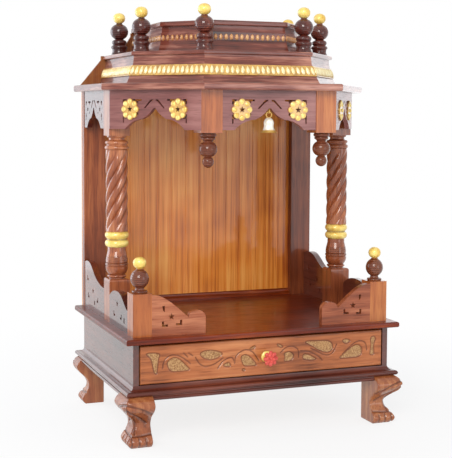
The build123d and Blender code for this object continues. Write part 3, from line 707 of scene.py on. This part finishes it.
shape = bmesh.new()
corners = outline([vert.co for vert in nodes["carved_band"].data.vertices])
for start, end in zip(corners, corners[1:]):
    run = end - start
    count = round(run.length / tooth_pitch)
    for i in range(count):
        spot = start.lerp(end, (i + 0.5) / count)
        here = frame_at((spot.x, spot.y, tooth_middle), (run.y, -run.x, 0.0))
        add_leaf(shape, here, tooth_half_width, tooth_thickness, tooth_half_height, tooth_taper)
# The light stain on the teeth is a painted highlight.
finished("carved_teeth", shape, finish_for("tooth_highlight", "Z", coat=0.9))

# %% [markdown]
# ## Flowers in gold
# Each rosette is a disc with eight round lobes and a star cut through its middle. A dome on every
# lobe makes petals of them. The places come from the six separate solids of the rosettes' node,
# found by walking from corner to corner along the edges.

# %% The middle of each rosette
def islands(mesh):
    """The centre of each separate solid in a mesh."""
    shape = bmesh.new()
    shape.from_mesh(mesh)
    bmesh.ops.remove_doubles(shape, verts=shape.verts, dist=0.00001)
    waiting = set(shape.verts)
    centres = []
    while waiting:
        group = [waiting.pop()]
        for vert in group:
            for edge in vert.link_edges:
                other = edge.other_vert(vert)
                if other in waiting:
                    waiting.remove(other)
                    group.append(other)
        low = Vector([min(v.co[i] for v in group) for i in range(3)])
        high = Vector([max(v.co[i] for v in group) for i in range(3)])
        centres.append((low + high) / 2)
    shape.free()
    return sorted(centres, key=lambda centre: round(centre.x, 4))


flower_centres = islands(nodes["rosettes"].data)
print("rosettes at", [tuple(round(part, 3) for part in centre) for centre in flower_centres])

# %% Petals on each rosette
def add_petals(shape, here, count, reach, half_width, thickness, start=0.0,
               middle_share=0.66, length_share=0.32):
    """Domes round a middle, each longest along its own radius and widest at its tip."""
    for k in range(count):
        turn = Matrix.Rotation(start + k * tau / count, 4, "Y")
        made = bmesh.ops.create_uvsphere(shape, u_segments=12, v_segments=6, radius=1.0)
        for vert in made["verts"]:
            x, y, z = vert.co
            spread = 1.0 + 0.25 * z
            out = reach * (middle_share + length_share * z)
            vert.co = here @ (turn @ Vector((x * half_width * spread, y * thickness, out)))


petal_reach = 0.0225
petal_half_width = 0.0056
petal_thickness = 0.0036
front_half_width = 0.12

shape = bmesh.new()
for centre in flower_centres:
    if abs(centre.x) < front_half_width:
        outward = (0.0, -1.0, 0.0)
    else:
        side = 1.0 if centre.x > 0 else -1.0
        outward = (side * sin(slant), -cos(slant), 0.0)
    add_petals(shape, frame_at(centre, outward), 8, petal_reach, petal_half_width,
               petal_thickness, middle_share=0.72, length_share=0.27)
finished("rosette_petals", shape, gold)

# %% [markdown]
# ## The drawer's knob
# A flower of painted petals stands on a gold stem. Eight petals and six smaller ones before them
# overlap, a dish joins them, and a button closes the middle. Shares are of the knob's radius across
# the flower, and of half its thickness out from the drawer.

# %% Knob flower
def add_ball(shape, here, halves, around, upwards):
    """A ball squashed to three half sizes."""
    made = bmesh.ops.create_uvsphere(shape, u_segments=around, v_segments=upwards, radius=1.0)
    for vert in made["verts"]:
        vert.co = here @ Vector([part * half for part, half in zip(vert.co, halves)])


knob_low, knob_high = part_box("knob_face")
knob_radius = (knob_high.x - knob_low.x) / 2
knob_thick = (knob_high.y - knob_low.y) / 2
outer = frame_at((knob_low + knob_high) / 2, (0.0, -1.0, 0.0))
inner = outer @ Matrix.Translation((0.0, knob_thick * 0.35, 0.0))
shape = bmesh.new()
add_petals(shape, outer, 8, knob_radius, knob_radius * 0.27, knob_thick * 0.62)
add_petals(shape, inner, 6, knob_radius * 0.66, knob_radius * 0.22, knob_thick * 0.55, 0.3)
add_ball(shape, outer, (knob_radius * 0.24, knob_thick * 0.98, knob_radius * 0.24), 16, 10)
add_ball(shape, outer, (knob_radius * 0.74, knob_thick * 0.5, knob_radius * 0.74), 24, 8)
finished("knob_flower", shape, red.material, "drawer", ("knob_face",))

# %% [markdown]
# ## Cuts of the chisel
# Carving is a depth at each point of a board. A cut follows a line drawn with a few points, which
# corner cutting makes smooth. A ground is the sunken field round a flower, dull from the punch. The
# same two measures, the distance to a line and being within a loop, serve the drawer and the legs.

# %% Lines, loops and depths
def rounded(points, closed=False, rounds=3):
    """A smooth line from a few points, by cutting its corners again and again."""
    line = [Vector(point) for point in points]
    for _ in range(rounds):
        ends = zip(line, line[1:] + line[:1]) if closed else zip(line, line[1:])
        cut = []
        for a, b in ends:
            cut += [a.lerp(b, 0.25), a.lerp(b, 0.75)]
        line = cut if closed else [line[0]] + cut + [line[-1]]
    return line + line[:1] if closed else line


def distance_to(spots, line):
    nearest = numpy.full(len(spots), 1000.0)
    for a, b in zip(line, line[1:]):
        run = numpy.array(b - a)
        offset = spots - numpy.array(a)
        share = numpy.clip(offset @ run / (run @ run + 1e-12), 0.0, 1.0)
        gap = numpy.hypot(*(offset - share[:, None] * run).T)
        nearest = numpy.minimum(nearest, gap)
    return nearest


def within_loop(spots, loop):
    within = numpy.zeros(len(spots), bool)
    x, y = spots.T
    for a, b in zip(loop, loop[1:]):
        spans = (a.y > y) != (b.y > y)
        within ^= spans & (x < a.x + (y - a.y) * (b.x - a.x) / ((b.y - a.y) or 1e-9))
    return within


def soft_step(value):
    value = numpy.clip(value, 0.0, 1.0)
    return value * value * (3.0 - 2.0 * value)


def keep_on_points(mesh, name, values):
    """Numbers on a mesh's points, which its material reads. Points past the list get 0."""
    spare = numpy.zeros(len(mesh.vertices) - len(values))
    layer = mesh.attributes.new(name, "FLOAT", "POINT")
    layer.data.foreach_set("value", numpy.concatenate([values, spare]).astype(numpy.float32))


# %% [markdown]
# ## The carved drawer front
# A vine runs out from the knob to each side: an arch, a triangle, a wide leaf, a folded leaf and a
# long drop. The points are millimetres from the middle of the board.

# %% The drawing
left_grounds = (
    [(-266, 24), (-250, 25), (-232, 22), (-237, 11), (-239, -18), (-243, -20), (-247, -13),
     (-252, 14)],
    [(-218, 4), (-206, 13), (-193, 10), (-180, -3), (-166, -17), (-190, -18), (-211, -17),
     (-217, -5)],
    [(-147, 19), (-123, 23), (-95, 14), (-103, 6), (-115, 2), (-128, 1), (-145, 9)],
    [(-100, -13), (-82, -5), (-77, -18)],
    [(-56, 1), (-53, 6), (-43, 7), (-32, -1), (-18, -19), (-34, -18), (-49, -18), (-54, -8)],
    [(-54, -25), (-50, -22), (-46, -25), (-50, -29)],
    [(-22, 25), (-32, 22), (-38, 16), (-27, 17)],
)
right_grounds = (
    [(247, 26), (263, 25), (255, 5), (259, -16), (245, -15), (251, 5)],
    [(229, -3), (224, 8), (213, 11), (201, 5), (186, -6), (169, -18), (198, -18), (224, -17)],
    [(178, 22), (190, 25), (201, 20), (188, 12)],
    [(86, 26), (118, 25), (150, 24), (159, 9), (153, 0), (140, -3), (120, 6), (104, 16)],
    [(86, -1), (100, -3), (124, -17), (86, -15)],
    [(41, 4), (56, 7), (66, -2), (61, -14), (41, -15), (45, -5)],
    [(24, 25), (36, 22), (41, 16), (31, 17)],
)
vines = (
    [(-228, -9), (-225, 8), (-211, 18), (-197, 17), (-181, 8), (-168, -3)],
    [(-183, 20), (-174, 11)],
    [(-172, 19), (-163, 13)],
    [(-157, 9), (-149, -5), (-136, -13), (-115, -9), (-96, 3)],
    [(-70, -10), (-69, 4), (-56, 15), (-42, 18), (-28, 11), (-16, -8)],
    [(-108, -18), (-96, -2), (-76, 5), (-72, -4)],
    [(181, -8), (208, 15), (224, 19), (237, 13), (239, -3)],
    [(166, 14), (158, -4), (145, -9), (132, -5), (118, 3), (104, 10)],
    [(34, 5), (46, 16), (61, 18), (76, 10), (76, -8)],
    [(80, 6), (100, 4), (122, -8), (132, -18)],
)
print(len(left_grounds + right_grounds), "grounds and", len(vines), "vines")

# %% [markdown]
# A fine grid is pressed in by the depth of the carving. It is laid over the board's face first, and
# each of its points learns whether it lies in a ground, on an outline or on a vine. Widths and
# depths are millimetres.

# %% Where the chisel goes
mm = 0.001
front_low, front_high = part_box("drawer_front")
front_middle = (front_low + front_high) / 2
front_size = front_high - front_low
columns_of_points, rows_of_points = 450, 66
ground_slope = 1.8
outline_half_width = 1.7
vine_half_width = 2.1

drawer_shape = bmesh.new()
bmesh.ops.create_grid(drawer_shape, x_segments=columns_of_points, y_segments=rows_of_points,
                      size=0.5)
for vert in drawer_shape.verts:
    vert.co = Vector((front_middle.x + vert.co.x * front_size.x, front_low.y,
                      front_middle.z + vert.co.y * front_size.z))
drawer_shape.verts.index_update()
spots = numpy.array([((v.co.x - front_middle.x) / mm, (v.co.z - front_middle.z) / mm)
                     for v in drawer_shape.verts])
ground = numpy.zeros(len(spots))
cuts = numpy.zeros(len(spots))
for points in left_grounds + right_grounds:
    loop = rounded(points, closed=True, rounds=2)
    edge = distance_to(spots, loop)
    sunk = numpy.where(within_loop(spots, loop), soft_step(edge / ground_slope), 0.0)
    ground = numpy.maximum(ground, sunk)
    cuts = numpy.maximum(cuts, soft_step(1.0 - edge / outline_half_width))
for points in vines:
    edge = distance_to(spots, rounded(points))
    cuts = numpy.maximum(cuts, soft_step(1.0 - edge / vine_half_width))
print(round(float((ground > 0.5).mean()) * 100), "% of the board is sunken ground")

# %% [markdown]
# Waves that bend each other stipple the grounds with no visible rows, and slower ones leave the
# board a little uneven, as a plane by hand does. The rim is rounded over, and the sides and the
# back are pulled out of the grid's edge.

# %% Pressing the drawing into the board
ground_depth, stipple_depth, cut_depth, swell_depth = 2.2, 0.45, 1.9, 0.35
swell_margin = 12
round_edge = 3.0
# How dark the painted shade in the drawer's cuts is.
cut_shade = 0.8

x, z = spots.T
stipple = (numpy.sin(x * 2.1 + numpy.sin(z * 1.3) * 1.6)
           * numpy.sin(z * 2.3 + numpy.sin(x * 0.9) * 1.4))
swell = numpy.sin(x * 0.11) * numpy.sin(z * 0.16 + x * 0.05)
half = numpy.array((front_size.x, front_size.z)) / 2 / mm
border = numpy.clip((half - numpy.abs(spots)).min(axis=1), 0.0, 100.0)
into_edge = numpy.clip(round_edge - border, 0, None)
rim = round_edge - numpy.sqrt(numpy.clip(round_edge ** 2 - into_edge ** 2, 0.0, None))
depth = (ground * (ground_depth + stipple_depth * stipple) + cuts * cut_depth
         + (swell_depth + swell_depth * swell) * soft_step(border / swell_margin) + rim)
drawer_shape.verts.ensure_lookup_table()
for vert, pressed in zip(drawer_shape.verts, depth):
    vert.co.y += float(pressed) * mm
rim_edges = [edge for edge in drawer_shape.edges if edge.is_boundary]
pulled = bmesh.ops.extrude_edge_only(drawer_shape, edges=rim_edges)
for item in pulled["geom"]:
    if isinstance(item, bmesh.types.BMVert):
        item.co.y = front_high.y
back_edges = [edge for edge in drawer_shape.edges if edge.is_boundary]
bmesh.ops.holes_fill(drawer_shape, edges=back_edges)
bmesh.ops.recalc_face_normals(drawer_shape, faces=drawer_shape.faces)
panel = finished("drawer_carving", drawer_shape, finish_for("drawer", "X", carved=True),
                 "drawer", ("drawer_front",))
keep_on_points(panel.data, "ground", ground)
# The painted shade in the cuts rides on the points.
keep_on_points(panel.data, "cut", cuts * cut_shade)
print("deepest carving", round(float(depth.max()), 2), "mm")

# %% [markdown]
# ## The carved legs
# The bandsawn leg has a brow over its knee, two cuts that cross the knee, a split shin, and a paw
# with round toes. The solid is remeshed to small even faces first, because its own long
# triangles can't take a cut. A point's place on the leg is its share across the face and its
# height, so both outer faces carry the same drawing and meet at the corner.

# %% An even copy of a leg
leg_voxel = 0.0017


def even_copy(name):
    """A copy of a leg in small even faces, as a mesh, with its points and normals as arrays."""
    shape = bmesh.new()
    shape.from_mesh(nodes[name].data)
    bmesh.ops.remove_doubles(shape, verts=shape.verts, dist=0.00001)
    raw = bpy.data.meshes.new("raw_" + name)
    shape.to_mesh(raw)
    shape.free()
    blank = bpy.data.objects.new("raw_" + name, raw)
    bpy.context.scene.collection.objects.link(blank)
    even = blank.modifiers.new("even", "REMESH")
    even.mode = "VOXEL"
    even.voxel_size = leg_voxel
    graph = bpy.context.evaluated_depsgraph_get()
    made = bpy.data.meshes.new_from_object(blank.evaluated_get(graph))
    bpy.data.objects.remove(blank)
    places = numpy.empty(len(made.vertices) * 3)
    made.vertices.foreach_get("co", places)
    normals = numpy.array([vert.normal for vert in made.vertices])
    return made, places.reshape(-1, 3), normals


print("leg faces will be", round(leg_voxel / mm, 1), "mm wide")

# %% [markdown]
# The drawing is made once, on a face 50 wide, with heights in millimetres: a line, its half width
# and its depth. Share 0 is the inner edge of a leg's face and 1 the outer corner.

# %% Cuts on a leg
face_width = 50.0
leg_cuts = (
    ([(50, 99), (38, 93), (22, 84), (2, 68)], 3.4, 3.6),
    ([(50, 84), (40, 77), (24, 64), (8, 48)], 3.4, 3.4),
    ([(33, 66), (25, 52), (26, 38), (29, 27)], 2.6, 2.6),
    ([(50, 27), (25, 24), (0, 27)], 2.8, 2.2),
    ([(11, 20), (10, 0)], 2.2, 2.4),
    ([(22, 22), (22, 0)], 2.2, 2.4),
    ([(34, 22), (34, 0)], 2.2, 2.4),
)
carved_below = 105.0
toe_top, toe_depth, toes_across = 20.0, 0.6, 4.4
scallop_foot, scallop_depth = 52.0, 0.8
calf_middle, calf_reach, calf_depth = 44.0, 20.0, 3.0
knee_middle, knee_reach, knee_depth = 86.0, 16.0, 4.0
# How dark the painted shade in a leg's cuts is.
leg_cut_shade = 0.75


def drawn_on_leg(places, normals, low, high):
    """Each point's share across its outer face, and how much of an outer face it is."""
    side = 1.0 if low.x > 0 else -1.0
    front = 1.0 if low.y > 0 else -1.0
    across_front = (places[:, 0] * side - min(abs(low.x), abs(high.x))) / (high.x - low.x)
    across_side = (places[:, 1] * front - min(abs(low.y), abs(high.y))) / (high.y - low.y)
    outward_x = numpy.clip(normals[:, 0] * side, 0.0, 1.0)
    outward_y = numpy.clip(normals[:, 1] * front, 0.0, 1.0)
    share = numpy.where(outward_y >= outward_x, across_front, across_side)
    return share, soft_step((numpy.maximum(outward_x, outward_y) - 0.25) / 0.3)


def pressed_forms(share, height):
    """How far the scalloped corner and the knee press in, in millimetres, less what swells out."""
    toes = numpy.abs(numpy.sin(share * pi * toes_across)) * soft_step((toe_top - height) / 8.0)
    scallop = numpy.abs(numpy.sin(height * 0.36)) * soft_step((share - 0.8) / 0.15)
    scallop *= soft_step((height - scallop_foot) / 6.0)
    calf = soft_step(1.0 - numpy.abs(height - calf_middle) / calf_reach)
    knee = soft_step(1.0 - numpy.abs(height - knee_middle) / knee_reach)
    knee = knee * soft_step((share - 0.7) / 0.3)
    return scallop * scallop_depth + knee * knee_depth - toes * toe_depth - calf * calf_depth


# %% Carving each leg
def carve_leg(name):
    made, places, normals = even_copy(name)
    low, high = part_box(name)
    share, shown = drawn_on_leg(places, normals, low, high)
    height = places[:, 2] / mm
    drawn = numpy.stack([share * face_width, height], axis=1)
    below = soft_step((carved_below - height) / 4.0) * shown
    # Where the cuts lie, for their painted shade.
    shade_in_cuts = numpy.zeros(len(places))
    cut = numpy.zeros(len(places))
    for points, half_width, deep in leg_cuts:
        here = soft_step(1.0 - distance_to(drawn, rounded(points)) / half_width)
        shade_in_cuts = numpy.maximum(shade_in_cuts, here)
        cut = numpy.maximum(cut, here * deep)
    inward = (cut + pressed_forms(share, height)) * below
    places -= normals * (inward * mm)[:, None]
    places = numpy.clip(places, numpy.array(low), numpy.array(high))
    made.vertices.foreach_set("co", places.ravel())
    made.update()
    shape = bmesh.new()
    shape.from_mesh(made)
    bpy.data.meshes.remove(made)
    material = finish_for("leg", "Z", figure=0.5, coat=0.7, carved=True)
    piece = finished(name + "_carved", shape, material, stands_for=(name,))
    # The painted shade in the cuts rides on the points.
    keep_on_points(piece.data, "cut", shade_in_cuts * below * leg_cut_shade)


for name in sorted(nodes):
    if name.startswith("leg_"):
        carve_leg(name)

# %% [markdown]
# ## Studio
# The temple stands in a pale room. The sky lights the wood softly, with a touch of blue, and shows
# as plain white to the camera and in the lacquer. A sky that is white for everything would be
# simpler, but it would wash out the stains.

# %% Sky
soft_sky = (0.93, 0.96, 1.0, 1.0)
soft_strength = 0.62

world = bpy.data.worlds.new("studio")
world.use_nodes = True
bpy.context.scene.world = world
sky = Network(world.node_tree)
sky.tree.nodes.remove(sky.tree.nodes["Background"])
camera_ray, glossy_ray, clear_ray = (
    sky.node("ShaderNodeLightPath", output=ray)
    for ray in ("Is Camera Ray", "Is Glossy Ray", "Is Transmission Ray"))
seen = camera_ray.math("MAXIMUM", glossy_ray).math("MAXIMUM", clear_ray)
soft = sky.node("ShaderNodeBackground", {}, {"Color": soft_sky, "Strength": soft_strength})
white = sky.node("ShaderNodeBackground", {}, {"Color": "#ffffff", "Strength": 1.0})
shown = sky.node("ShaderNodeMixShader", {}, {0: seen, 1: soft, 2: white})
sky.feed(sky.tree.nodes["World Output"].inputs["Surface"], shown)
bpy.context.scene.view_settings.view_transform = "Standard"
print("sky strength", soft_strength)

# %% [markdown]
# Bare bulbs would cast hard shadows, so every lamp is a large soft box. The key stands high on the
# left, the fill lights the right front, and two walls light the sides from behind. One weak box
# shows only in the lacquer, where it gives the left side boards the cool sheen of a window.

# %% Lamps
middle = Vector((0.0, 0.0, 0.45))
lamps = (
    ("key", (-1.6, -2.6, 1.9), (1.4, 1.4), 72.0, (1.0, 0.97, 0.93)),
    ("fill", (1.15, -2.4, 0.55), (1.1, 1.3), 9.0, (0.93, 0.96, 1.0)),
    ("left_wall", (-1.9, 1.6, 0.7), (1.6, 1.8), 30.0, (0.80, 0.89, 1.0)),
    ("left_sheen", (-1.1, 2.2, 0.6), (1.3, 1.8), 3.5, (0.78, 0.88, 1.0)),
    ("right_wall", (2.0, 1.6, 0.7), (1.6, 1.8), 7.0, (0.9, 0.94, 1.0)),
)
for name, place, size, watts, colour in lamps:
    lamp = bpy.data.lights.new(name, "AREA")
    lamp.shape = "RECTANGLE"
    lamp.size, lamp.size_y = size
    lamp.energy = watts
    lamp.color = colour
    box = bpy.data.objects.new(name, lamp)
    bpy.context.scene.collection.objects.link(box)
    box.location = place
    box.rotation_euler = (middle - Vector(place)).to_track_quat("-Z", "Y").to_euler()
    box.visible_camera = False
    box.visible_diffuse = name != "left_sheen"
print(len(lamps), "soft boxes")

# %% [markdown]
# ## Floor
# The floor is a plain pale sheet that fades to white away from the temple, so there is no horizon.
# To the camera it is mostly its own glow, and the rest of it takes the temple's shadow.

# %% Floor
floor_half_size = 6.0
fade_from, fade_to = 0.45, 1.3
near_glow = 0.8

shape = bmesh.new()
bmesh.ops.create_grid(shape, x_segments=8, y_segments=8, size=floor_half_size)
floor_mesh = bpy.data.meshes.new("floor")
shape.to_mesh(floor_mesh)
shape.free()
floor = bpy.data.objects.new("floor", floor_mesh)
bpy.context.scene.collection.objects.link(floor)

pale = Finish("pale_floor", Roughness=0.9, Base_Color="#f4f4f4")
floor_x, floor_y, _ = pale.axes(pale.place())
far = (floor_x * floor_x + floor_y * floor_y).math("SQRT").rise(fade_from, fade_to)
camera_ray = pale.node("ShaderNodeLightPath", output="Is Camera Ray")
glossy_ray = pale.node("ShaderNodeLightPath", output="Is Glossy Ray")
seen = camera_ray * (far * (1 - near_glow) + near_glow) + glossy_ray
glow = pale.node("ShaderNodeEmission", {}, {"Color": "#ffffff"})
surface = Value(pale, pale.shader.outputs[0])
shown = pale.node("ShaderNodeMixShader", {}, {0: seen.math("MINIMUM", 1.0), 1: surface, 2: glow})
pale.feed(pale.tree.nodes["Material Output"].inputs["Surface"], shown)
floor_mesh.materials.append(pale.material)
print("floor", 2 * floor_half_size, "m wide")
